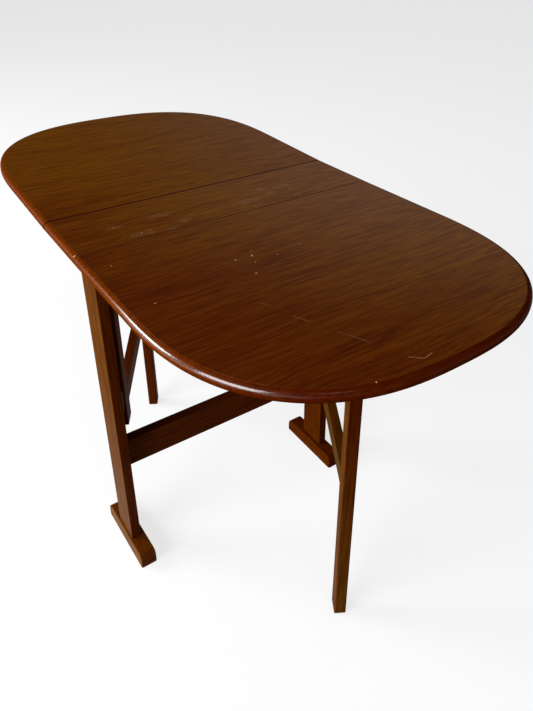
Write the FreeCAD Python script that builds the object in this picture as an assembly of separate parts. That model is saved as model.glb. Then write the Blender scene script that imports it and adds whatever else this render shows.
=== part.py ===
import FreeCAD, Part
import os
from math import atan2, cos, degrees, pi, radians, sin, tan

# A drop-leaf table with a narrow centre board, two rounded leaves and two swinging gate legs.
# Millimetres. The origin is on the floor under the middle of the top. +X runs along the table
# towards the near leaf, +Y along the seams towards the right post, +Z up.
# The far half is the near half turned by 180 degrees about Z, but for the leaf's rise.

V = FreeCAD.Vector
X, Y, Z = V(1, 0, 0), V(0, 1, 0), V(0, 0, 1)

# ---------------------------------------------------------------- driving dimensions
# top
TOP_HEIGHT = 730.0          # floor to the face of the centre board
TOP_THICKNESS = 18.0
TOP_WIDTH = 592.0           # along the seams
CENTRE_LENGTH = 147.0       # centre board, seam to seam
SEAM_GAP = 1.5
LEAF_LENGTH = 515.0         # leaf, from the middle of the seam gap to the rounded end
LEAF_STRAIGHT = 197.0       # straight part of the leaf's long edges
END_POWER = 2.55            # power of the superellipse that rounds a leaf's end
OUTLINE_STEPS = 36          # spans of the curve round a leaf's end
NEAR_RISE = 0.5             # degrees by which the near leaf stands above level on its gate
FAR_RISE = 1.8
LIPPING_WIDTH = 8.0
LIPPING_STEP = 0.8          # the lipping's face lies this far below the veneer
LIPPING_ROUND = 7.6         # rounding of its outer edge, above and below
VENEER_EDGE_ROUND = 0.8     # eased upper edges of the three boards

# end frames
POST_WIDTH = 66.0
POST_THICKNESS = 19.5
POST_INSET = 39.0           # post's outer face, in from the top's long edge
FOOT_LENGTH = 172.0
FOOT_WIDTH = 33.5
FOOT_HEIGHT = 32.0
FOOT_PROUD = 4.5            # foot, outside the post's outer face
FOOT_END_ROUND = 14.0       # rounding of a foot's ends, seen from the side
FOOT_EDGE_ROUND = 3.0       # softened edges along its sides
STRETCHER_THICKNESS = 21.5
STRETCHER_DEPTH = 64.0
STRETCHER_BOTTOM = 210.5
UPPER_RAIL_THICKNESS = 14.0
UPPER_RAIL_DEPTH = 44.0
EDGE_ROUND = 1.5            # softened long edges of posts, rails and blocks

# gates
GATE_OPEN = 60.0            # degrees from beside the stretcher to under the leaf
GATE_THICKNESS = 23.0
GATE_REACH = 429.0          # hinge pin to the outer face of the leg
LEG_WIDTH = 31.0
STILE_WIDTH = 38.0
STILE_BOTTOM = 283.0
RAIL_THICKNESS = 18.5
LOWER_RAIL_DEPTH = 37.5
LOWER_RAIL_BOTTOM = 311.0
TOP_RAIL_DEPTH = 45.0
GATE_TOP_GAP = 6.5          # gate below the centre board, room for the seam hinges
GATE_PIN_X = 31.0           # hinge pin, off the table's long middle plane
LEG_ROUND = 3.0             # rounding of a leg's long edges
LEG_END_ROUND = 7.0         # rounding of its lower end

# blocks under the leaves
BLOCK_LENGTH = 60.0
BLOCK_WIDTH = 36.0
STOP_WIDTH = 16.0
STOP_DROP = 9.0             # stop, below the leg's top
REST_GAP = 0.3              # a face that only rests on another

# hinges
PLATE_THICKNESS = 1.2
BARREL_RADIUS = 2.5
PIN_RADIUS = 1.2
PIN_FIT = 0.06
PIN_FACE_SEAM = 2.6         # pin centre below the boards
PIN_FACE_GATE = 2.8         # pin centre off the post's and the stile's face
BARREL_FIT = 0.3            # between neighbouring knuckles
SEAM_PLATE_LENGTH = 60.0
SEAM_PLATE_WIDTH = 26.0
SEAM_HINGES = 3
SEAM_HINGE_INSET = 70.0     # middle of the outer hinges, from the ends of the seam
GATE_PLATE_LENGTH = 50.0
GATE_PLATE_WIDTH = 19.0
GATE_HINGE_INSET = 60.0     # middle of a gate hinge, from the stile's ends
KNUCKLES = 3

# fasteners
SCREW_HEAD = 3.0            # radius of a hinge screw's head
SCREW_SHANK = 1.5
SCREW_LENGTH = 12.0
SCREW_POINT = 0.3           # radius at a screw's point
LONG_SCREW_HEAD = 4.0
LONG_SCREW_SHANK = 2.0
LONG_SCREW_GRIP = 11.0      # length of a long screw in the piece that it holds
SLOT_WIDTH = 0.8
SLOT_DEPTH = 0.6
DOWEL_RADIUS = 4.0
DOWEL_HALF = 14.0           # length of a dowel in each piece
DOWEL_ROOM = 1.0            # hole beyond the dowel's end
DOWEL_OFF_MIDDLE = 0.22     # a gate dowel, off its rail's middle, in rail depths
NEAR_SCREW = 0.45           # a plate's outer screws, from the pin, in plate widths
FAR_SCREW = 0.72            # its middle screw
HOLE_FIT = 0.05

# ---------------------------------------------------------------- derived places
UNDERSIDE = TOP_HEIGHT - TOP_THICKNESS
HALF_WIDTH = TOP_WIDTH / 2
SEAM_X = CENTRE_LENGTH / 2 + SEAM_GAP / 2
SEAM_PIN_Z = UNDERSIDE - PIN_FACE_SEAM
END_HALF = LEAF_LENGTH - LEAF_STRAIGHT
POST_OUTER = HALF_WIDTH - POST_INSET
POST_INNER = POST_OUTER - POST_THICKNESS
GATE_TOP = UNDERSIDE - GATE_TOP_GAP
GATE_PIN_Y = POST_INNER - PIN_FACE_GATE
STILE_END = GATE_PIN_Y - PIN_FACE_GATE
GATE_INNER_X = GATE_PIN_X - GATE_THICKNESS
GATE_MIDDLE_X = GATE_PIN_X - GATE_THICKNESS / 2
LEG_OUTER_Y = GATE_PIN_Y - GATE_REACH
STRETCHER_MIDDLE = STRETCHER_BOTTOM + STRETCHER_DEPTH / 2
UPPER_RAIL_MIDDLE = UNDERSIDE - UPPER_RAIL_DEPTH / 2
TINY = 1.0                  # how far a cutter runs past the face that it cuts
FLUSH = 1e-6                # edges this close to a plane lie in it


# ---------------------------------------------------------------- helpers
def block(x0, x1, y0, y1, z0, z1):
    return Part.makeBox(x1 - x0, y1 - y0, z1 - z0, V(x0, y0, z0))


def turned(shape, angle, about=V(0, 0, 0), axis=Z):
    """A copy of the shape, turned by the angle in degrees."""
    copy = shape.copy()
    copy.rotate(about, axis, angle)
    return copy


def rounded(shape, radius, along):
    """Round the straight edges that run along one axis."""
    edges = [e for e in shape.Edges if is_straight(e) and is_along(e, along)]
    return shape.makeFillet(radius, edges)


def is_straight(edge):
    return isinstance(edge.Curve, (Part.Line, Part.LineSegment))


def is_along(edge, axis):
    return abs(abs(edge.tangentAt(edge.FirstParameter).dot(axis)) - 1) < FLUSH


def joined(solids):
    return solids[0] if len(solids) == 1 else Part.makeCompound(solids)


def fused(solids):
    return solids[0].multiFuse(solids[1:]).removeSplitter()


def screw(head, direction, length, head_radius, shank_radius, grow=0.0):
    """A countersunk screw: its head's face is centred on head and it runs along direction."""
    taper = head_radius - shank_radius
    point = min(2 * shank_radius, length / 3)
    cone = Part.makeCone(head_radius + grow, shank_radius + grow, taper, head, direction)
    shank = Part.makeCylinder(
        shank_radius + grow, length - taper - point, head + direction * taper, direction
    )
    tip = Part.makeCone(
        shank_radius + grow, SCREW_POINT + grow, point, head + direction * (length - point), direction
    )
    return fused([cone, shank, tip])


def slotted(solid, head, direction, head_radius):
    """The screw with a straight slot across its head, for a screw along an axis."""
    across = X if abs(direction.dot(X)) < 0.5 else Y
    side = direction.cross(across)
    corners = [
        head + across * (sign * (head_radius + TINY)) + side * (sign * SLOT_WIDTH / 2) + direction * depth
        for sign, depth in ((-1, -TINY), (1, SLOT_DEPTH))
    ]
    spans = [sorted(pair) for pair in zip(*corners)]
    return solid.cut(block(*spans[0], *spans[1], *spans[2]))


def screws_and_holes(places, direction, length, head_radius, shank_radius):
    """Screws at the places, and the holes that they need."""
    screws, holes = [], []
    for place in places:
        solid = screw(place, direction, length, head_radius, shank_radius)
        screws.append(slotted(solid, place, direction, head_radius))
        holes.append(screw(place, direction, length + DOWEL_ROOM, head_radius, shank_radius, HOLE_FIT))
    return screws, holes


def dowels_and_holes(places, direction):
    """Dowels centred on the places, and the holes that they need in both pieces."""
    dowels, holes = [], []
    for place in places:
        start = place - direction * DOWEL_HALF
        dowels.append(Part.makeCylinder(DOWEL_RADIUS, 2 * DOWEL_HALF, start, direction))
        reach = DOWEL_HALF + DOWEL_ROOM
        holes.append(
            Part.makeCylinder(DOWEL_RADIUS + HOLE_FIT, 2 * reach, place - direction * reach, direction)
        )
    return dowels, holes


def hinge_plate(length, width, pin_face, outer, fold):
    """One plate of a butt hinge with its knuckles. The pin runs along Z through the origin.

    The plate lies against a face at y = pin_face and runs to x = -width. Outer plates hold the
    first and last knuckles, inner plates those between. fold turns the plate to y = -pin_face.
    """
    step = length / KNUCKLES
    plate = block(-width, 0, pin_face - PLATE_THICKNESS, pin_face, -length / 2, length / 2)
    mine, theirs = [], []
    for n in range(KNUCKLES):
        low = -length / 2 + n * step
        if (n % 2 == 0) == outer:
            start = low + (BARREL_FIT / 2 if n > 0 else 0)
            end = low + step - (BARREL_FIT / 2 if n < KNUCKLES - 1 else 0)
            mine.append(Part.makeCylinder(BARREL_RADIUS, end - start, V(0, 0, start), Z))
        else:
            start = low - (BARREL_FIT / 2 if n > 0 else TINY)
            end = low + step + (BARREL_FIT / 2 if n < KNUCKLES - 1 else TINY)
            room = BARREL_RADIUS + BARREL_FIT
            theirs.append(block(-room, room, -room, pin_face + TINY, start, end))
    bore = Part.makeCylinder(PIN_RADIUS + PIN_FIT, length + 2 * TINY, V(0, 0, -length / 2 - TINY), Z)
    body = fused([plate] + mine).cut(theirs + [bore])
    return body.mirror(V(0, 0, 0), Y) if fold else body


def hinge_pin(length):
    return Part.makeCylinder(PIN_RADIUS, length, V(0, 0, -length / 2), Z)


def screw_rows(length, width):
    """Places of a plate's screws, as (distance from the pin, place along the pin)."""
    along = length / 2 - length / 6
    near, far = -NEAR_SCREW * width, -FAR_SCREW * width
    return [(near, -along), (far, 0.0), (near, along)]


# ---------------------------------------------------------------- the top
def leaf_outline(inset):
    """Closed outline of the near leaf in the plane z = 0, moved inwards by inset on three sides."""
    half, start = HALF_WIDTH, SEAM_X + SEAM_GAP / 2
    corner = SEAM_X + LEAF_STRAIGHT

    def rim(angle):
        c, s = abs(cos(angle)), sin(angle)
        x = END_HALF * c ** (2 / END_POWER)
        y = half * abs(s) ** (2 / END_POWER)
        nx = (x / END_HALF) ** (END_POWER - 1) / END_HALF
        ny = (y / half) ** (END_POWER - 1) / half
        size = (nx * nx + ny * ny) ** 0.5
        sign = 1 if s >= 0 else -1
        return V(corner + x - inset * nx / size, sign * (y - inset * ny / size), 0)

    shares = [spread(n / OUTLINE_STEPS) for n in range(OUTLINE_STEPS + 1)]
    points = [rim(-pi / 2 + pi * share) for share in shares]
    curve = Part.BSplineCurve()
    curve.interpolate(points, InitialTangent=X, FinalTangent=X * -1)
    low, high = -half + inset, half - inset
    lines = [
        Part.LineSegment(V(corner, high, 0), V(start, high, 0)),
        Part.LineSegment(V(start, high, 0), V(start, low, 0)),
        Part.LineSegment(V(start, low, 0), V(corner, low, 0)),
    ]
    return Part.Wire([curve.toShape()] + [line.toShape() for line in lines])


def spread(share):
    """Even shares from 0 to 1 drawn towards both ends, where the outline starts to bend."""
    return share - sin(2 * pi * share) / (4 * pi)


def slab(wire, bottom, top):
    face = Part.Face(wire)
    face.translate(V(0, 0, bottom))
    return face.extrude(V(0, 0, top - bottom))


def level_edges(solid, height, keep=lambda box: True):
    """Edges that lie in the plane z = height, on the sides that keep accepts."""
    return [
        e for e in solid.Edges
        if e.BoundBox.ZLength < FLUSH and abs(e.BoundBox.ZMin - height) < FLUSH and keep(e.BoundBox)
    ]


def leaf_panel():
    """Veneered board of the near leaf, level, with its upper edges eased."""
    solid = slab(leaf_outline(LIPPING_WIDTH), UNDERSIDE, TOP_HEIGHT)
    return solid.makeFillet(VENEER_EDGE_ROUND, level_edges(solid, TOP_HEIGHT))


def leaf_lipping():
    """Solid wood edging of the near leaf: a full round with a low step up to the veneer."""
    seam = SEAM_X + SEAM_GAP / 2
    top = TOP_HEIGHT - LIPPING_STEP
    solid = slab(leaf_outline(0.0), UNDERSIDE, top)
    rims = [e for z in (top, UNDERSIDE) for e in level_edges(solid, z, lambda b: b.XMax > seam + TINY)]
    solid = solid.makeFillet(LIPPING_ROUND, rims)
    return solid.cut(slab(leaf_outline(LIPPING_WIDTH), UNDERSIDE - TINY, TOP_HEIGHT + TINY))


def centre_parts():
    """Centre board, and the lipping strips on its two ends."""
    half = CENTRE_LENGTH / 2
    reach = HALF_WIDTH - LIPPING_WIDTH
    board = block(-half, half, -reach, reach, UNDERSIDE, TOP_HEIGHT)
    board = board.makeFillet(VENEER_EDGE_ROUND, level_edges(board, TOP_HEIGHT))
    top = TOP_HEIGHT - LIPPING_STEP
    strip = block(-half, half, reach, HALF_WIDTH, UNDERSIDE, top)
    rims = [e for z in (top, UNDERSIDE) for e in level_edges(strip, z, lambda b: b.YMin > reach + TINY)]
    strip = strip.makeFillet(LIPPING_ROUND, rims)
    return board, [strip, turned(strip, 180)]


# ---------------------------------------------------------------- hinges in place
def seam_places():
    """Middles of one seam's hinges along Y."""
    reach = HALF_WIDTH - SEAM_HINGE_INSET
    return [-reach + 2 * reach * n / (SEAM_HINGES - 1) for n in range(SEAM_HINGES)]


def at_seam(shape, y):
    """From the hinge's own axes to the near seam: the pin along Y, its faces upwards."""
    placed = turned(shape, 90, axis=X)
    placed.translate(V(SEAM_X, y, SEAM_PIN_Z))
    return placed


def seam_hinges():
    """Near seam: fixed plates, moving plates, pins, and both sets of screws with their holes."""
    size = (SEAM_PLATE_LENGTH, SEAM_PLATE_WIDTH, PIN_FACE_SEAM)
    fixed, moving, pins, fixed_at, moving_at = [], [], [], [], []
    inner = hinge_plate(*size, outer=False, fold=False).mirror(V(0, 0, 0), X)
    for y in seam_places():
        fixed.append(at_seam(hinge_plate(*size, outer=True, fold=False), y))
        moving.append(at_seam(inner, y))
        pins.append(at_seam(hinge_pin(SEAM_PLATE_LENGTH), y))
        for off, along in screw_rows(SEAM_PLATE_LENGTH, SEAM_PLATE_WIDTH):
            z = UNDERSIDE - PLATE_THICKNESS
            fixed_at.append(V(SEAM_X + off, y + along, z))
            moving_at.append(V(SEAM_X - off, y + along, z))
    size = (Z, SCREW_LENGTH, SCREW_HEAD, SCREW_SHANK)
    fixed_screws, fixed_holes = screws_and_holes(fixed_at, *size)
    moving_screws, moving_holes = screws_and_holes(moving_at, *size)
    fixed = [p.cut(fixed_holes) for p in fixed]
    moving = [p.cut(moving_holes) for p in moving]
    return fixed, moving, pins, (fixed_screws, fixed_holes), (moving_screws, moving_holes)


def gate_hinge_places():
    """Middles of a gate's two hinges along Z."""
    return [STILE_BOTTOM + GATE_HINGE_INSET, GATE_TOP - GATE_HINGE_INSET]


def gate_hinges():
    """Near gate, closed: post plates, stile plates, pins, and both sets of screws with holes."""
    size = (GATE_PLATE_LENGTH, GATE_PLATE_WIDTH, PIN_FACE_GATE)
    post, stile, pins, post_at, stile_at = [], [], [], [], []
    for z in gate_hinge_places():
        place = V(GATE_PIN_X, GATE_PIN_Y, z)
        for group, shape in (
            (post, hinge_plate(*size, outer=True, fold=False)),
            (stile, hinge_plate(*size, outer=False, fold=True)),
            (pins, hinge_pin(GATE_PLATE_LENGTH)),
        ):
            shape.translate(place)
            group.append(shape)
        for off, along in screw_rows(GATE_PLATE_LENGTH, GATE_PLATE_WIDTH):
            post_at.append(V(GATE_PIN_X + off, POST_INNER - PLATE_THICKNESS, z + along))
            stile_at.append(V(GATE_PIN_X + off, STILE_END + PLATE_THICKNESS, z + along))
    post_screws, post_holes = screws_and_holes(post_at, Y, SCREW_LENGTH, SCREW_HEAD, SCREW_SHANK)
    stile_screws, stile_holes = screws_and_holes(
        stile_at, Y * -1, SCREW_LENGTH, SCREW_HEAD, SCREW_SHANK
    )
    post = [p.cut(post_holes) for p in post]
    stile = [p.cut(stile_holes) for p in stile]
    return post, stile, pins, (post_screws, post_holes), (stile_screws, stile_holes)


# ---------------------------------------------------------------- the end frames
def right_post():
    x = POST_WIDTH / 2
    solid = block(-x, x, POST_INNER, POST_OUTER, FOOT_HEIGHT, UNDERSIDE)
    return rounded(solid, EDGE_ROUND, Z)


def right_foot():
    x = FOOT_LENGTH / 2
    outer = POST_OUTER + FOOT_PROUD
    solid = block(-x, x, outer - FOOT_WIDTH, outer, 0, FOOT_HEIGHT)
    ends = [e for e in solid.Edges if is_along(e, Y) and e.BoundBox.ZMin > TINY]
    solid = solid.makeFillet(FOOT_END_ROUND, ends)
    sides = [e for e in solid.Edges if e.BoundBox.YLength < FLUSH and e.BoundBox.ZMax > TINY]
    return solid.makeFillet(FOOT_EDGE_ROUND, sides)


def stretcher():
    x = STRETCHER_THICKNESS / 2
    top = STRETCHER_BOTTOM + STRETCHER_DEPTH
    solid = block(-x, x, -POST_INNER, POST_INNER, STRETCHER_BOTTOM, top)
    return rounded(solid, EDGE_ROUND, Y)


def upper_rail():
    x = UPPER_RAIL_THICKNESS / 2
    solid = block(-x, x, -POST_INNER, POST_INNER, UNDERSIDE - UPPER_RAIL_DEPTH, UNDERSIDE)
    low = [e for e in solid.Edges if is_along(e, Y) and e.BoundBox.ZMax < UNDERSIDE - TINY]
    return solid.makeFillet(EDGE_ROUND, low)


def rail_dowel_places(middle, depth):
    """Two dowels one above the other at the right post."""
    return [V(0, POST_INNER, middle + side * depth / 4) for side in (-1, 1)]


# ---------------------------------------------------------------- a gate
def gate_parts():
    """The near gate's wooden pieces and dowels, closed along -Y from its pin."""
    inner, outer = GATE_INNER_X, GATE_PIN_X
    stile_y = STILE_END - STILE_WIDTH
    leg_y = LEG_OUTER_Y + LEG_WIDTH
    stile = rounded(block(inner, outer, stile_y, STILE_END, STILE_BOTTOM, GATE_TOP), EDGE_ROUND, Z)
    leg = block(inner, outer, LEG_OUTER_Y, leg_y, 0, GATE_TOP)
    leg = rounded(leg, LEG_ROUND, Z).common(leg.makeFillet(LEG_END_ROUND, level_edges(leg, 0)))
    x0, x1 = GATE_MIDDLE_X - RAIL_THICKNESS / 2, GATE_MIDDLE_X + RAIL_THICKNESS / 2
    rails, places = [], []
    for bottom, depth in (
        (LOWER_RAIL_BOTTOM, LOWER_RAIL_DEPTH),
        (GATE_TOP - TOP_RAIL_DEPTH, TOP_RAIL_DEPTH),
    ):
        rails.append(rounded(block(x0, x1, leg_y, stile_y, bottom, bottom + depth), EDGE_ROUND, Y))
        for y in (leg_y, stile_y):
            offsets = [side * DOWEL_OFF_MIDDLE * depth for side in (-1, 1)]
            places += [V(GATE_MIDDLE_X, y, bottom + depth / 2 + offset) for offset in offsets]
    dowels, holes = dowels_and_holes(places, Y)
    return {
        "leg": leg.cut(holes),
        "stile": stile.cut(holes),
        "lower_rail": rails[0].cut(holes),
        "top_rail": rails[1].cut(holes),
        "dowels": joined(dowels),
    }


# ---------------------------------------------------------------- blocks under a leaf
def leg_top():
    """The open leg's middle in plan, and the direction along the open gate."""
    along = V(sin(radians(GATE_OPEN)), -cos(radians(GATE_OPEN)), 0)
    across = V(along.y * -1, along.x, 0)
    pin = V(GATE_PIN_X, GATE_PIN_Y, 0)
    middle = pin + along * (GATE_REACH - LEG_WIDTH / 2) - across * (GATE_THICKNESS / 2)
    return middle, along, across


def level_bottom(rise, at, reach, height):
    """Height of a block's bottom on the level leaf, so that raised by rise it clears height."""
    near = at.x - SEAM_X - reach
    return SEAM_PIN_Z + (height - SEAM_PIN_Z) / cos(radians(rise)) - near * tan(radians(rise))


def leaf_blocks(rise):
    """Bearer and stop of a leaf, level, and their screws with their holes.

    The bearer lies on the leg's top and the stop stands beside it, where the opening leg meets it.
    """
    middle, along, across = leg_top()
    angle = degrees(atan2(along.y, along.x))
    reach = BLOCK_LENGTH / 2
    stop_face = GATE_THICKNESS / 2 + REST_GAP
    bearer_low = level_bottom(rise, middle, reach, GATE_TOP + REST_GAP)
    made, places = [], []
    for start, width, low in (
        (stop_face - BLOCK_WIDTH, BLOCK_WIDTH, bearer_low),
        (stop_face, STOP_WIDTH, bearer_low - STOP_DROP),
    ):
        solid = block(-reach, reach, -width / 2, width / 2, low, UNDERSIDE)
        at = middle + across * (start + width / 2)
        made.append(place_block(rounded(solid, EDGE_ROUND, Z), at, angle))
        places += [(at + along * (side * BLOCK_LENGTH / 3), low) for side in (-1, 1)]
    bearer, stop = made
    screws, holes = [], []
    for at, low in places:
        length = UNDERSIDE - low + LONG_SCREW_GRIP
        pair = screws_and_holes([at + Z * low], Z, length, LONG_SCREW_HEAD, LONG_SCREW_SHANK)
        screws += pair[0]
        holes += pair[1]
    return bearer.cut(holes), stop.cut(holes), screws, holes


def place_block(solid, at, angle):
    solid = turned(solid, angle)
    solid.translate(at)
    return solid


# ---------------------------------------------------------------- assembly
nodes = {}


def add(name, solids):
    """Keep one node, a solid or a list of solids."""
    nodes[name] = joined(solids) if isinstance(solids, list) else solids


def both_ends(solids):
    """The solids at the right post, and the same turned to the left post."""
    return solids + [turned(s, 180) for s in solids]


def build_leaf(name, rise, turn, moving, screws, holes):
    """One leaf with all that rides on it, raised about its hinge pins and turned into place."""
    bearer, stop, block_screws, block_holes = leaf_blocks(rise)
    pieces = {
        "board": leaf_panel().cut(holes + block_holes),
        "lipping": leaf_lipping(),
        "hinge_plates": moving,
        "hinge_screws": screws,
        "bearer_block": bearer,
        "stop_block": stop,
        "block_screws": block_screws,
    }
    about = V(SEAM_X, 0, SEAM_PIN_Z)
    for piece, solids in pieces.items():
        solids = solids if isinstance(solids, list) else [solids]
        raised = [turned(s, -rise, about, Y) for s in solids]
        add(f"{name}_leaf_{piece}", [turned(s, turn) for s in raised])


def build_gate(name, turn, stile, screws, holes):
    """One gate, swung open about its pins and turned into place."""
    pieces = gate_parts()
    pieces["stile"] = pieces["stile"].cut(holes)
    pieces["hinge_plates"] = joined(stile)
    pieces["hinge_screws"] = joined(screws)
    about = V(GATE_PIN_X, GATE_PIN_Y, 0)
    for piece, solid in pieces.items():
        add(f"{name}_gate_{piece}", turned(turned(solid, GATE_OPEN, about), turn))


def build():
    fixed, moving, seam_pins, fixed_fix, moving_fix = seam_hinges()
    post_plates, stile_plates, gate_pins, post_fix, stile_fix = gate_hinges()

    # centre board and what is let into it from below
    board, strips = centre_parts()
    rail_places = [V(0, side * POST_INNER / 2, UNDERSIDE - UPPER_RAIL_DEPTH) for side in (-1, 0, 1)]
    rail_screws, rail_holes = screws_and_holes(
        rail_places, Z, UPPER_RAIL_DEPTH + LONG_SCREW_GRIP, LONG_SCREW_HEAD, LONG_SCREW_SHANK
    )
    add("centre_board", board.cut(both_ends(fixed_fix[1]) + rail_holes))
    add("centre_lippings", strips)

    # posts, feet and rails
    stretcher_dowels, stretcher_holes = dowels_and_holes(
        rail_dowel_places(STRETCHER_MIDDLE, STRETCHER_DEPTH), Y
    )
    upper_dowels, upper_holes = dowels_and_holes(
        rail_dowel_places(UPPER_RAIL_MIDDLE, UPPER_RAIL_DEPTH), Y
    )
    foot_places = [
        V(side * POST_WIDTH / 4, (POST_INNER + POST_OUTER) / 2, FOOT_HEIGHT) for side in (-1, 1)
    ]
    foot_dowels, foot_holes = dowels_and_holes(foot_places, Z)
    post = right_post().cut(stretcher_holes + upper_holes + foot_holes + post_fix[1])
    foot = right_foot().cut(foot_holes)
    add("right_post", post)
    add("left_post", turned(post, 180))
    add("right_foot", foot)
    add("left_foot", turned(foot, 180))
    add("stretcher", stretcher().cut(both_ends(stretcher_holes)))
    add("upper_rail", upper_rail().cut(both_ends(upper_holes) + rail_holes))
    add("stretcher_dowels", both_ends(stretcher_dowels))
    add("upper_rail_dowels", both_ends(upper_dowels))
    add("upper_rail_screws", rail_screws)
    add("foot_dowels", both_ends(foot_dowels))

    # seam hinges and gate hinges, the parts that stay on the frame
    for name, turn in (("near", 0), ("far", 180)):
        add(f"{name}_seam_hinge_plates", [turned(s, turn) for s in fixed])
        add(f"{name}_seam_hinge_pins", [turned(s, turn) for s in seam_pins])
        add(f"{name}_seam_hinge_screws", [turned(s, turn) for s in fixed_fix[0]])
        add(f"{name}_gate_post_plates", [turned(s, turn) for s in post_plates])
        add(f"{name}_gate_hinge_pins", [turned(s, turn) for s in gate_pins])
        add(f"{name}_gate_post_screws", [turned(s, turn) for s in post_fix[0]])

    for name, turn, rise in (("near", 0, NEAR_RISE), ("far", 180, FAR_RISE)):
        build_leaf(name, rise, turn, moving, moving_fix[0], moving_fix[1])
        build_gate(name, turn, stile_plates, stile_fix[0], stile_fix[1])


build()
os.makedirs("parts", exist_ok=True)
for node, shape in nodes.items():
    shape.exportStep(f"parts/{node}.step")
print(len(nodes), "nodes")
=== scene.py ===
from functools import reduce
from math import cos, inf, pi, radians, sin, tan

import bpy
from mathutils import Matrix, Vector


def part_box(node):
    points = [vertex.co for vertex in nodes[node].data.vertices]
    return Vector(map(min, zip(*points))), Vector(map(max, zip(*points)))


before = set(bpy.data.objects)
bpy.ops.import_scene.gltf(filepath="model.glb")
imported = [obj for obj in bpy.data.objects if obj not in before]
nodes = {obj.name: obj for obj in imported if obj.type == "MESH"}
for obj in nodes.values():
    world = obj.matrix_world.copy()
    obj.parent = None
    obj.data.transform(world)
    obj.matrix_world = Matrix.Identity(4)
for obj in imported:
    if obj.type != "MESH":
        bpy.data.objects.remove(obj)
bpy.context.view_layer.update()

# The table in metres, in the part's own frame: +X towards the near leaf, +Y towards the right
# post, +Z up, floor at z = 0.
X, Y, Z = Vector((1, 0, 0)), Vector((0, 1, 0)), Vector((0, 0, 1))
MM = 0.001

# ---------------------------------------------------------------- camera
PHOTO_WIDTH, PHOTO_HEIGHT = 533, 711
FOCAL_PX = 652.5
AXIS_PX = (287.5, 265.7)                # where the lens axis meets the picture
CAMERA_AT = Vector((0.9812, -0.5382, 1.1907))
CAMERA_YAW = radians(144.63)
CAMERA_PITCH = radians(28.22)
CAMERA_ROLL = radians(-0.66)
SENSOR = 36.0

# ---------------------------------------------------------------- light
# Lamps like windows: azimuth, elevation, width and height in degrees as the table sees them, and
# the light that each gives a surface turned to it (1 shows a colour as it is written).
WINDOWS = {
    "left_window": (-134, 19, 24, 18, 0.80),
    "middle_window": (-81, 19, 38, 36, 1.15),
    "front_window": (-8, 56, 10, 10, 0.10),
}
WINDOW_DISTANCE = 5.0
WINDOW_TARGET = Vector((0.1, 0, 0.6))
SKY_LEVEL = 0.08                        # light from above, all round
HORIZON_TOP = radians(3), radians(11)   # the white horizon ends between these elevations
# Two lights low in the sky behind the table: a glow that the top mirrors, and below it one for the
# table's back. Each fades between two elevations and between two angles to either side.
BEHIND_AZIMUTH = radians(130)
GLOW = {"level": 1.2, "top": (radians(18), radians(34)), "side": (radians(2), radians(35))}
BACK_LIGHT = {"level": 2.0, "top": (radians(11), radians(16)), "side": (radians(10), radians(50))}
FLOOR_COLOUR, FLOOR_GLOW = 0.28, 0.74
FLOOR_HALF, FLOOR_DROP = 40.0, 0.2 * MM

# ---------------------------------------------------------------- colours
# Each wood has the tone of its redder and of its browner parts, and its dark grain multiplies it.
VENEER = {"red": (0.104, 0.019, 0.0003), "brown": (0.158, 0.052, 0.0008), "dark": (0.60, 0.44, 0.60)}
LIPPING = {"red": (0.085, 0.010, 0.0002), "brown": (0.150, 0.030, 0.0004), "dark": (0.62, 0.50, 0.60)}
FRAME = {"red": (0.096, 0.018, 0.0006), "brown": (0.122, 0.040, 0.0020), "dark": (0.56, 0.45, 0.60)}
# Painted shade: a darker tone for the right post, its foot and the far gate.
SHADED_FRAME = {**FRAME, "red": (0.088, 0.015, 0.0004), "brown": (0.098, 0.020, 0.0005)}
# The near gate leg's darker red is painted shade towards its top, under the leaf.
SHADED_LEG_FRAME = {**FRAME, "red": (0.066, 0.008, 0.0003)}
OLIVE_FRAME = {**FRAME, "red": (0.104, 0.030, 0.0012), "brown": (0.114, 0.047, 0.0045)}
# Painted light: a paler tone for the left foot, which the windows light most.
WINDOW_LIT_FRAME = {**FRAME, "red": (0.118, 0.027, 0.0012), "brown": (0.158, 0.060, 0.0050)}
BLOCKS = {"red": (0.150, 0.060, 0.0160), "brown": (0.190, 0.085, 0.0260), "dark": (0.60, 0.50, 0.45)}
BEECH = {"red": (0.520, 0.330, 0.1700), "brown": (0.440, 0.260, 0.1200), "dark": (0.72, 0.65, 0.60)}
# Painted shade along the seams and on the stretcher's top.
PAINTED_SHADE = (0.036, 0.005, 0.0008)
# A painted highlight along the near seam's arris.
PAINTED_ARRIS_HIGHLIGHT = (0.150, 0.056, 0.0100)
SCUFFED = (0.250, 0.175, 0.0900)
BARE_WOOD = (0.480, 0.330, 0.2100)
PLATE = {"colour": (0.16, 0.11, 0.055), "rough": 0.42}
SCREW = {"colour": (0.26, 0.20, 0.12), "rough": 0.36}


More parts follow.
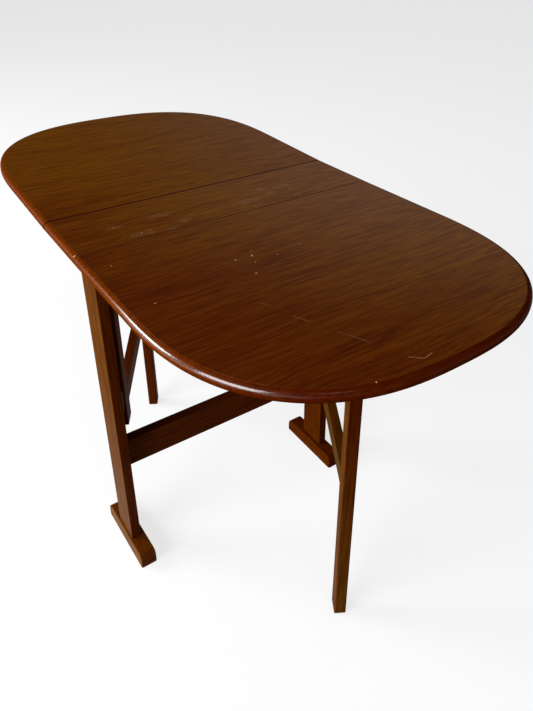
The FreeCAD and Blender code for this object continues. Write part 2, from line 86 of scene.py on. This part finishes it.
# ---------------------------------------------------------------- node helpers
class Tree:
    """A material's or world's node tree, with short calls to add and link nodes."""

    def __init__(self, owner):
        owner.use_nodes = True
        self.tree = owner.node_tree
        self.tree.nodes.clear()

    def add(self, kind, settings=None, **inputs):
        node = self.tree.nodes.new(kind)
        for name, value in (settings or {}).items():
            setattr(node, name, value)
        for name, value in inputs.items():
            self.feed(node, name, value)
        return node

    def feed(self, node, name, value):
        """Set or link the input called name, or the input of that number for in0, in1 and so on."""
        if name.startswith("in") and name[2:].isdigit():
            socket = node.inputs[int(name[2:])]
        else:
            socket = node.inputs[name.replace("_", " ")]
        if isinstance(value, bpy.types.NodeSocket):
            self.tree.links.new(value, socket)
        elif isinstance(value, tuple) and len(value) == 3 and socket.type == "RGBA":
            socket.default_value = (*value, 1.0)
        else:
            socket.default_value = value

    def math(self, operation, *values, clamp=False):
        inputs = {f"in{n}": v for n, v in enumerate(values)}
        settings = {"operation": operation, "use_clamp": clamp}
        return self.add("ShaderNodeMath", settings, **inputs).outputs[0]

    def vector(self, operation, *values):
        inputs = {f"in{n}": v for n, v in enumerate(values)}
        return self.add("ShaderNodeVectorMath", {"operation": operation}, **inputs)

    def dot(self, vector, direction):
        return self.vector("DOT_PRODUCT", vector, tuple(direction)).outputs["Value"]

    def scaled(self, vector, factors):
        return self.vector("MULTIPLY", vector, factors).outputs[0]

    def noise(self, vector, scale, detail=3.0, rough=0.5):
        node = self.add("ShaderNodeTexNoise", {"noise_dimensions": "3D"}, Vector=vector, Scale=scale,
                        Detail=detail, Roughness=rough)
        return node.outputs["Fac"]

    def ramp(self, value, low, high, to_low=0.0, to_high=1.0):
        """The value spread from low..high to to_low..to_high, smoothly and no further."""
        node = self.add("ShaderNodeMapRange", {"interpolation_type": "SMOOTHSTEP"}, Value=value)
        limits = {"From Min": low, "From Max": high, "To Min": to_low, "To Max": to_high}
        for name, number in limits.items():
            node.inputs[name].default_value = number
        return node.outputs["Result"]

    def highest(self, values):
        return reduce(lambda first, second: self.math("MAXIMUM", first, second), values)

    def mix(self, factor, first, second, blend="MIX"):
        node = self.tree.nodes.new("ShaderNodeMix")
        node.data_type, node.blend_type = "RGBA", blend
        for name, value in (("Factor", factor), ("A", first), ("B", second)):
            socket = next(s for s in node.inputs if s.name == name and s.enabled)
            if isinstance(value, bpy.types.NodeSocket):
                self.tree.links.new(value, socket)
            else:
                socket.default_value = (*value, 1.0) if isinstance(value, tuple) else value
        return next(s for s in node.outputs if s.enabled)


def direction(azimuth, elevation):
    return Vector((cos(azimuth) * cos(elevation), sin(azimuth) * cos(elevation), sin(elevation)))


# ---------------------------------------------------------------- marks of use, painted shade and painted highlights
# Places on the top in millimetres from its middle: scuffs as x, y, half width along X and along Y;
# chips as x, y, radius; scratches as how plain they are and the points that they run through.
SCUFFS = (
    (36, 40, 17, 32), (34, -43, 9, 18), (48, -95, 12, 20), (66, -122, 6, 14), (54, -175, 14, 34),
    (0, 95, 8, 14), (60, 131, 9, 18), (11, -205, 9, 26), (22, 98, 11, 11), (8, 137, 9, 30),
    (5, -120, 12, 30),
)
CHIPS = (
    (71, -292, 2.0), (84, -298, 1.7), (136, -259, 1.3), (272, -251, 1.3), (224, -97, 1.8),
    (226, -69, 2.1), (211, -61, 0.9), (247, -76, 1.2), (277, -94, 1.7), (244, -34, 1.2),
    (234, 16, 1.2), (10, -206, 1.2), (54, -174, 1.2), (567, -121, 1.2),
)
SCRATCHES = (
    (0.16, (351, -134), (365, -128)),
    (0.20, (403, -117), (425, -108)),
    (0.18, (463, -94), (478, -86), (503, -76)),
    (0.42, (553, -58), (566, -44), (563, -29)),
)
# A mark is full within the first of two distances and gone at the second: in a scuff's half widths,
# in a chip's radii, and in millimetres from a scratch.
SCUFF_EDGE, CHIP_EDGE, SCRATCH_EDGE = (0.3, 1.0), (0.5, 1.15), (0.3, 1.0)
# A noise bends the scuffs' outlines, and finer ones break up the scuffs and the scratches.
SCUFF_WANDER, SCUFF_WANDER_NOISE = 2.4, (0.06, 3.0, 0.6)
SCUFF_GRIT, SCUFF_GRIT_NOISE, SCUFF_BREAKS = (0.14, 0.08, 0), (1.0, 4.0, 0.65), (0.36, 0.58, 0.2, 1.0)
SCRATCH_NOISE, SCRATCH_BREAKS = (0.35, 2.0), (0.35, 0.6, 0.25, 1.0)
SCUFF_AMOUNT, SCUFF_ROUGHNESS = 0.16, 0.25
CUT_ROUGHNESS, CUT_DEPTH = 0.4, 1.5     # of chips and scratches, the depth as in GRAIN_BUMP
FAR_SEAM, NEAR_SEAM = (corner[0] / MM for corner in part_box("centre_board"))
# Painted shade along both seams and a painted highlight on the near seam's arris: where each is
# full and where it is gone, in millimetres from the centre board's edge, how plain it is, and its
# colour.
SEAM_SHADE_AND_HIGHLIGHT = (
    (FAR_SEAM, (1.2, 3.4), 1.00, PAINTED_SHADE),
    (NEAR_SEAM, (1.6, 4.0), 0.45, PAINTED_ARRIS_HIGHLIGHT),
    (NEAR_SEAM, (0.8, 1.8), 0.55, PAINTED_SHADE),
)
# Painted shade on the stretcher's top, under the table: how far below the top it is gone and full,
# and how plain it is.
STRETCHER_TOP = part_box("stretcher")[1][2]
STRETCHER_SHADE, STRETCHER_SHADE_AMOUNT = (2.0 * MM, 0.4 * MM), 0.6


def scuff_mask(t, flat, scuffs):
    """Rubbed patches, broken up by a fine noise."""
    masks = []
    wander = t.math("SUBTRACT", t.noise(flat, *SCUFF_WANDER_NOISE), 0.5)
    for x, y, half_x, half_y in scuffs:
        away = t.vector("SUBTRACT", flat, (x, y, 0)).outputs[0]
        away = t.vector("LENGTH", t.scaled(away, (1 / half_x, 1 / half_y, 0))).outputs["Value"]
        away = t.math("MULTIPLY_ADD", wander, SCUFF_WANDER, away)
        masks.append(t.ramp(away, *SCUFF_EDGE, 1.0, 0.0))
    broken = t.ramp(t.noise(t.scaled(flat, SCUFF_GRIT), *SCUFF_GRIT_NOISE), *SCUFF_BREAKS)
    return t.math("MULTIPLY", t.highest(masks), broken)


def chip_mask(t, flat, chips):
    masks = []
    for x, y, radius in chips:
        away = t.vector("DISTANCE", flat, (x, y, 0)).outputs["Value"]
        masks.append(t.ramp(away, *(edge * radius for edge in CHIP_EDGE), 1.0, 0.0))
    return t.highest(masks)


def scratch_mask(t, flat, scratches):
    """Thin lines, fainter here and there along their way."""
    masks = []
    for plain, *points in scratches:
        for start, end in zip(points, points[1:]):
            start, run = Vector((*start, 0)), Vector((*end, 0)) - Vector((*start, 0))
            from_start = t.vector("SUBTRACT", flat, tuple(start)).outputs[0]
            share = t.math("DIVIDE", t.dot(from_start, run), run.length_squared, clamp=True)
            foot = t.vector("SCALE", tuple(run))
            t.feed(foot, "Scale", share)
            away = t.vector("DISTANCE", from_start, foot.outputs[0]).outputs["Value"]
            masks.append(t.ramp(away, *SCRATCH_EDGE, plain, 0.0))
    broken = t.ramp(t.noise(flat, *SCRATCH_NOISE), *SCRATCH_BREAKS)
    return t.math("MULTIPLY", t.highest(masks), broken)


def use_marks(low, high):
    """The marks of use on the part of the top between two x, with the painted shade and highlight along
    the seams: a function for the wood's marks argument.
    """
    scuffs = [scuff for scuff in SCUFFS if low <= scuff[0] <= high]
    chips = [chip for chip in CHIPS if low <= chip[0] <= high]
    scratches = [scratch for scratch in SCRATCHES if low <= scratch[1][0] <= high]

    def mark(t, place, tone, roughness, height):
        flat = t.scaled(place, (1 / MM, 1 / MM, 0))
        along = t.dot(flat, X)
        # Painted shade along both seams, and a painted highlight on the near seam's arris.
        for seam, reach, amount, colour in SEAM_SHADE_AND_HIGHLIGHT:
            from_seam = t.math("ABSOLUTE", t.math("SUBTRACT", along, seam))
            tone = t.mix(t.ramp(from_seam, *reach, amount, 0.0), tone, colour)
        if scuffs:
            mask = scuff_mask(t, flat, scuffs)
            tone = t.mix(t.math("MULTIPLY", mask, SCUFF_AMOUNT), tone, SCUFFED)
            roughness = t.math("MULTIPLY_ADD", mask, SCUFF_ROUGHNESS, roughness)
        masks = [chip_mask(t, flat, chips)] if chips else []
        if scratches:
            masks.append(scratch_mask(t, flat, scratches))
        if masks:
            mask = t.highest(masks)
            tone = t.mix(mask, tone, BARE_WOOD)
            roughness = t.math("MULTIPLY_ADD", mask, CUT_ROUGHNESS, roughness)
            height = t.math("MULTIPLY_ADD", mask, -CUT_DEPTH, height)
        return tone, roughness, height

    return mark


def stretcher_painted_shade(t, place, tone, roughness, height):
    """Painted shade darkens the stretcher's top, under the table."""
    low, high = (STRETCHER_TOP - depth for depth in STRETCHER_SHADE)
    mask = t.ramp(t.dot(place, Z), low, high, 0.0, STRETCHER_SHADE_AMOUNT)
    return t.mix(mask, tone, PAINTED_SHADE), roughness, height


# ---------------------------------------------------------------- wood
# The layers of the grain: the scale of each one's noise along and across the grain (per metre),
# its detail and its roughness.
GRAIN = {
    "waver": (2.6, 9.0, 3.0, 0.5),
    "bands": (1.8, 18.0, 3.0, 0.55),
    "figure": (6.0, 105.0, 2.0, 0.5),
    "lines": (13.0, 270.0, 2.0, 0.6),
    "streaks": (24.0, 700.0, 2.0, 0.6),
    "pores": (110.0, 2300.0, 1.0, 0.5),
}
# The layers that darken the wood: between which values of the noise, and by how much.
DARKENING = {
    "figure": (0.44, 0.66, 0.30),
    "lines": (0.42, 0.62, 0.72),
    "streaks": (0.42, 0.70, 0.46),
    "pores": (0.60, 0.72, 0.55),
}
WAVER_REACH = 0.035                     # metres that the grain wanders sideways
SEED_STEP = (1.7, 0.9, 0.5)             # metres that the grain moves from one seed to the next
BAND_RANGE, BAND_SHARE = (0.30, 0.70), 0.3      # from red to brown, and its share beside a drift
GRAIN_BUMP = {"Strength": 0.18, "Distance": 0.12 * MM}
LINE_HEIGHT, PORE_DEPTH = 0.35, 0.8     # as shares of the bump's distance
DULL_RANGE = 0.3, 0.7                   # the noise's range from the glossiest to the dullest
# Bronzed steel: its blotches of tarnish and how dark they are, and its fine scratches.
TARNISH_NOISE, TARNISH_RANGE, TARNISH_SHADE = (160.0, 4.0, 0.6), (0.45, 0.75, 0.0, 0.7), 0.45
BRUSHING, BRUSHING_NOISE, BRUSHING_DULLS = (900.0, 120.0, 2600.0), (1.0, 2.0), 0.2
METAL_BUMP = {"Strength": 0.15, "Distance": 0.1 * MM}

# Ramps of tone and gloss: the two values that each runs between and, where they aren't 0 and 1,
# what it gives at them. The values are places in metres, or the normal's share along an axis.
TO_FAR_RIGHT, TO_NEAR_RIGHT = (-0.5, 0.87, 0), (0.8, 0.6, 0)
TOP_DRIFT = -0.44, 0.08                         # place towards the far right
RIM_DRIFT = 0.05, 0.34, 1.0, 0.0                # place towards the near right
LEG_DRIFT = 0.0, 0.55, 1.0, 0.0                 # height
BROAD_FACE, LEG_BROAD_FACE = (0.3, 0.9), (0.6, 0.85)    # normal along Y
BOARD_GLOSS = 0.90, 0.985, 0.06, 0.15           # normal along Z
RIM_LOWER_GLOSS = 0.12, 0.36                    # normal along Z
RIM_UPPER_GLOSS = 0.74, 0.90, 1.0, 0.3          # normal along Z
RIM_LEFT_GLOSS = -0.250, -0.165, 1.0, 0.06      # place along Y
RIM_NEAR_GLOSS = 0.21, 0.35, 0.12, 1.0          # place along X
FRAME_LOW_GLOSS = 0.03, 0.50, 0.22, 0.045       # height
FRAME_LEFT_GLOSS = -0.20, 0.24, 1.1, 0.05       # place along Y
NARROW_FACE_GLOSS = 0.25                # of the frame, as a share of its broad faces' gloss


def grain_space(t, along, face, seed):
    """Coordinates with the grain along the first axis, moved by the seed so that boards differ."""
    coordinates = t.add("ShaderNodeTexCoord").outputs
    side = face.cross(along)
    parts = [t.dot(coordinates["Object"], axis) for axis in (along, side, face)]
    shifted = [t.math("ADD", part, seed * step) for part, step in zip(parts, SEED_STEP)]
    space = t.add("ShaderNodeCombineXYZ", X=shifted[0], Y=shifted[1], Z=shifted[2]).outputs[0]
    return space, coordinates["Object"], coordinates["Normal"]


def grain_noise(t, space, layer):
    """The noise of one layer of the grain, drawn out along it."""
    along, across, detail, rough = GRAIN[layer]
    return t.noise(t.scaled(space, (along, across, across)), 1.0, detail, rough)


def turned_along_y(t, normal, limits):
    """1 on faces that are turned along Y, 0 on those along X or Z."""
    return t.ramp(t.math("ABSOLUTE", t.dot(normal, Y)), *limits)


def top_drift(t, place, normal):
    """The veneer is redder at the near left and browner at the far right."""
    return t.ramp(t.dot(place, TO_FAR_RIGHT), *TOP_DRIFT)


def rim_drift(t, place, normal):
    """The lipping is browner along the left and far sides and redder round the near end. The brown is
    the wood's own tone, and near the front left it is also painted light round the highlight.
    """
    return t.ramp(t.dot(place, TO_NEAR_RIGHT), *RIM_DRIFT)


def frame_painted_light(t, place, normal):
    """Painted light: the frame is browner on the faces that are turned along Y, as the windows light its
    -Y faces.
    """
    return turned_along_y(t, normal, BROAD_FACE)


def leg_painted_shade_and_light(t, place, normal):
    """The near leg is darker and redder towards its top, painted shade under the leaf, and browner on
    its broad side, painted light from the windows.
    """
    broad = turned_along_y(t, normal, LEG_BROAD_FACE)
    return t.math("MAXIMUM", broad, t.ramp(t.dot(place, Z), *LEG_DRIFT))


def board_polish(t, place, normal):
    """The lacquer is rubbed dull on the eased edges."""
    return t.ramp(t.dot(normal, Z), *BOARD_GLOSS)


def rim_polish(t, place, normal):
    """The lacquer is glossy along the middle of the rim round the near left, and duller elsewhere."""
    tilt = t.dot(normal, Z)
    middle = t.math("MULTIPLY", t.ramp(tilt, *RIM_LOWER_GLOSS), t.ramp(tilt, *RIM_UPPER_GLOSS))
    left, near = t.ramp(t.dot(place, Y), *RIM_LEFT_GLOSS), t.ramp(t.dot(place, X), *RIM_NEAR_GLOSS)
    return t.math("MULTIPLY", middle, t.math("MULTIPLY", left, near))


def frame_polish(t, place, normal):
    """The frame is glossier low down, on its left and on the faces that are turned along Y."""
    low, left = t.ramp(t.dot(place, Z), *FRAME_LOW_GLOSS), t.ramp(t.dot(place, Y), *FRAME_LEFT_GLOSS)
    broad = t.math("MAXIMUM", turned_along_y(t, normal, BROAD_FACE), NARROW_FACE_GLOSS)
    return t.math("MULTIPLY", t.math("MULTIPLY", low, left), broad)


def wood(name, along, face, colours, seed, figure=1.0, drift=None, rough=(0.30, 0.42), level=0.0,
         polish=None, polish_rough=0.2, polish_ior=1.5, marks=None):
    """Stained and lacquered wood: wandering bands, fine streaks and short dark pores along the grain."""
    material = bpy.data.materials.new(name)
    t = Tree(material)
    space, place, normal = grain_space(t, along, face, seed)
    waver, reach = grain_noise(t, space, "waver"), WAVER_REACH * figure
    bent = t.vector("MULTIPLY_ADD", waver, (0.0, reach, reach), space).outputs[0]
    browner = t.ramp(grain_noise(t, bent, "bands"), *BAND_RANGE)
    if drift:
        bands = t.math("MULTIPLY_ADD", browner, BAND_SHARE, -0.5 * BAND_SHARE)
        browner = t.math("ADD", drift(t, place, normal), bands, clamp=True)
    tone = t.mix(browner, colours["red"], colours["brown"])
    noises, masks = {}, {}
    for layer, (low, high, amount) in DARKENING.items():
        noises[layer] = grain_noise(t, bent, layer)
        amount *= figure if layer == "figure" else 1.0
        masks[layer] = t.ramp(noises[layer], low, high, 0.0, amount)
        tone = t.mix(masks[layer], tone, colours["dark"], "MULTIPLY")
    roughness = t.ramp(noises["lines"], *DULL_RANGE, *rough)
    height = t.math("MULTIPLY", masks["pores"], -PORE_DEPTH)
    height = t.math("MULTIPLY_ADD", noises["lines"], LINE_HEIGHT, height)
    if marks:
        tone, roughness, height = marks(t, place, tone, roughness, height)
    bump = t.add("ShaderNodeBump", **GRAIN_BUMP, Height=height).outputs[0]
    shader = t.add("ShaderNodeBsdfPrincipled", Base_Color=tone, Roughness=roughness, Normal=bump)
    shader.inputs["Specular IOR Level"].default_value = level
    shader.inputs["Coat Roughness"].default_value = polish_rough
    shader.inputs["Coat IOR"].default_value = polish_ior
    if polish:
        t.feed(shader, "Coat Weight", polish(t, place, normal))
    t.add("ShaderNodeOutputMaterial", Surface=shader.outputs[0])
    return material


def metal(name, colour, rough):
    """Dull bronzed steel with fine scratches and tarnish."""
    material = bpy.data.materials.new(name)
    t = Tree(material)
    place = t.add("ShaderNodeTexCoord").outputs["Object"]
    scratches = t.noise(t.scaled(place, BRUSHING), *BRUSHING_NOISE)
    dull = tuple(TARNISH_SHADE * part for part in colour)
    tone = t.mix(t.ramp(t.noise(place, *TARNISH_NOISE), *TARNISH_RANGE), colour, dull)
    roughness = t.ramp(scratches, *DULL_RANGE, rough, rough + BRUSHING_DULLS)
    bump = t.add("ShaderNodeBump", **METAL_BUMP, Height=scratches).outputs[0]
    shader = t.add("ShaderNodeBsdfPrincipled", Base_Color=tone, Roughness=roughness, Normal=bump)
    shader.inputs["Metallic"].default_value = 1.0
    t.add("ShaderNodeOutputMaterial", Surface=shader.outputs[0])
    return material


# ---------------------------------------------------------------- the pieces' materials
GATE_TURN = radians(60)
GATE_ALONG = Vector((sin(GATE_TURN), -cos(GATE_TURN), 0))
VENEER_LOOK = {"drift": top_drift, "polish": board_polish, "polish_rough": 0.16}
LIPPING_LOOK = {
    "figure": 0.5, "drift": rim_drift, "polish": rim_polish, "polish_rough": 0.18, "polish_ior": 1.75,
}
FRAME_LOOK = {"figure": 0.7, "drift": frame_painted_light, "polish": frame_polish, "polish_rough": 0.35}
LEG_LOOK = {**FRAME_LOOK, "drift": leg_painted_shade_and_light}
BLOCK_LOOK = {"level": 0.05, "rough": (0.55, 0.7)}
BEECH_LOOK = {"level": 0.3, "rough": (0.5, 0.65)}
# The parts of the top and between which x each lies, in millimetres.
TOP_PARTS = {
    "centre": (FAR_SEAM, NEAR_SEAM), "near_leaf": (NEAR_SEAM, inf), "far_leaf": (-inf, FAR_SEAM),
}
UPRIGHTS = (
    "right_post", "left_post", "near_gate_leg", "far_gate_leg", "near_gate_stile", "far_gate_stile",
)
# Painted light on the left foot and painted shade on the near gate leg's top; the lower rail is more
# olive.
FRAME_TONES = {
    "left_foot": WINDOW_LIT_FRAME, "near_gate_leg": SHADED_LEG_FRAME, "near_gate_lower_rail": OLIVE_FRAME,
}


def frame_tone(name):
    """Painted shade darkens the right post, its foot and the far gate; painted light makes the left foot
    paler; the near gate leg's top has painted shade, and the near gate's lower rail is more olive.
    """
    if name.startswith(("right", "far")):
        return SHADED_FRAME
    return FRAME_TONES.get(name, FRAME)


def dress(name, material):
    slots = nodes[name].data.materials
    slots.clear()
    slots.append(material)


# Boards and laths start from different seeds, so that their grain differs. A gate's rails and its
# leaf's blocks share one, and differ because they lie apart.
def dress_top():
    for seed, (part, (low, high)) in enumerate(TOP_PARTS.items(), 1):
        marks = use_marks(low, high)
        dress(f"{part}_board", wood(f"{part}_board", Y, Z, VENEER, seed, marks=marks, **VENEER_LOOK))
        rim, along = ("centre_lippings", X) if part == "centre" else (f"{part}_lipping", Y)
        dress(rim, wood(rim, along, Z, LIPPING, seed + 3, marks=marks, **LIPPING_LOOK))


def dress_frame():
    for seed, name in enumerate(UPRIGHTS, 11):
        look = LEG_LOOK if name == "near_gate_leg" else FRAME_LOOK
        dress(name, wood(name, Z, X, frame_tone(name), seed, **look))
    # The stretcher's top gets painted shade.
    dress("stretcher", wood("stretcher", Y, X, FRAME, 21, marks=stretcher_painted_shade, **FRAME_LOOK))
    dress("upper_rail", wood("upper_rail", Y, X, FRAME, 22, **FRAME_LOOK))
    for seed, name in enumerate(("right_foot", "left_foot"), 31):
        dress(name, wood(name, X, Z, frame_tone(name), seed, **FRAME_LOOK))
    for seed, side in enumerate(("near", "far"), 41):
        for rail in (f"{side}_gate_lower_rail", f"{side}_gate_top_rail"):
            dress(rail, wood(rail, GATE_ALONG, Z, frame_tone(rail), seed, **FRAME_LOOK))
        for block in (f"{side}_leaf_bearer_block", f"{side}_leaf_stop_block"):
            dress(block, wood(block, GATE_ALONG, Z, BLOCKS, seed, **BLOCK_LOOK))


def dress_fittings():
    beech = wood("beech_dowel", Z, X, BEECH, 51, **BEECH_LOOK)
    plate, screw = metal("bronzed_plate", **PLATE), metal("bronzed_screw", **SCREW)
    for name in nodes:
        if name.endswith("dowels"):
            dress(name, beech)
        elif name.endswith(("plates", "pins")):
            dress(name, plate)
        elif name.endswith("screws"):
            dress(name, screw)


# ---------------------------------------------------------------- stage, light and camera
def area_lamp(name, at, target, size, radiance):
    """A rectangular lamp whose face has the given radiance, turned towards the target and unseen."""
    lamp = bpy.data.lights.new(name, "AREA")
    lamp.shape, lamp.size, lamp.size_y = "RECTANGLE", size[0], size[1]
    lamp.energy = radiance * size[0] * size[1] * pi
    holder = bpy.data.objects.new(name, lamp)
    bpy.context.scene.collection.objects.link(holder)
    holder.location = at
    holder.rotation_euler = (target - at).to_track_quat("-Z", "Y").to_euler()
    holder.visible_camera = False


def make_floor():
    """A pale floor that still takes the table's shadow."""
    mesh = bpy.data.meshes.new("floor")
    h = FLOOR_HALF
    mesh.from_pydata([(-h, -h, 0), (h, -h, 0), (h, h, 0), (-h, h, 0)], [], [(0, 1, 2, 3)])
    floor = bpy.data.objects.new("floor", mesh)
    bpy.context.scene.collection.objects.link(floor)
    floor.location.z = -FLOOR_DROP
    material = bpy.data.materials.new("floor")
    t = Tree(material)
    path = t.add("ShaderNodeLightPath").outputs
    seen = t.math("ADD", path["Is Camera Ray"], path["Is Glossy Ray"])
    seen = t.math("ADD", seen, path["Is Transmission Ray"], clamp=True)
    glow = t.math("MULTIPLY", seen, FLOOR_GLOW)
    grey = (FLOOR_COLOUR,) * 3
    shader = t.add("ShaderNodeBsdfPrincipled", Base_Color=grey, Roughness=0.9, Emission_Strength=glow)
    shader.inputs["Emission Color"].default_value = (1, 1, 1, 1)
    shader.inputs["Specular IOR Level"].default_value = 0.0
    t.add("ShaderNodeOutputMaterial", Surface=shader.outputs[0])
    mesh.materials.append(material)


def make_world():
    """Soft light all round: white at the horizon, dim above it, and two lights behind the table."""
    world = bpy.data.worlds.new("studio")
    bpy.context.scene.world = world
    t = Tree(world)
    sky = t.add("ShaderNodeTexCoord").outputs["Generated"]
    height = t.dot(sky, Z)
    azimuth = t.math("ARCTAN2", t.dot(sky, Y), t.dot(sky, X))
    aside = t.math("ABSOLUTE", t.math("SUBTRACT", azimuth, BEHIND_AZIMUTH))
    lights = [t.ramp(height, *(sin(angle) for angle in HORIZON_TOP), 1.0, 0.0)]
    for light in (GLOW, BACK_LIGHT):
        upward = t.ramp(height, *(sin(angle) for angle in light["top"]), light["level"], 0.0)
        lights.append(t.math("MULTIPLY", upward, t.ramp(aside, *light["side"], 1.0, 0.0)))
    level = t.math("ADD", t.highest(lights), SKY_LEVEL)
    back = t.add("ShaderNodeBackground", Color=(1.0, 1.0, 1.0), Strength=level)
    t.add("ShaderNodeOutputWorld", Surface=back.outputs[0])


def make_lights():
    for name, (azimuth, elevation, wide, high, light) in WINDOWS.items():
        at = WINDOW_TARGET + direction(radians(azimuth), radians(elevation)) * WINDOW_DISTANCE
        size = [2 * WINDOW_DISTANCE * tan(radians(span / 2)) for span in (wide, high)]
        area_lamp(name, at, WINDOW_TARGET, size, light * pi * WINDOW_DISTANCE ** 2 / (size[0] * size[1]))


def make_camera():
    data = bpy.data.cameras.new("camera")
    camera = bpy.data.objects.new("camera", data)
    bpy.context.scene.collection.objects.link(camera)
    bpy.context.scene.camera = camera
    data.sensor_width = SENSOR
    data.lens = FOCAL_PX / PHOTO_HEIGHT * SENSOR
    data.shift_x = (PHOTO_WIDTH / 2 - AXIS_PX[0]) / PHOTO_HEIGHT
    data.shift_y = (AXIS_PX[1] - PHOTO_HEIGHT / 2) / PHOTO_HEIGHT
    ahead = direction(CAMERA_YAW, -CAMERA_PITCH)
    right = Vector((sin(CAMERA_YAW), -cos(CAMERA_YAW), 0))
    down = ahead.cross(right)
    across = cos(CAMERA_ROLL) * right + sin(CAMERA_ROLL) * down
    below = -sin(CAMERA_ROLL) * right + cos(CAMERA_ROLL) * down
    turn = Matrix((across, -below, -ahead)).transposed()
    camera.matrix_world = Matrix.Translation(CAMERA_AT) @ turn.to_4x4()


dress_top()
dress_frame()
dress_fittings()
make_floor()
make_world()
make_lights()
make_camera()
bpy.context.scene.view_settings.view_transform = "Standard"
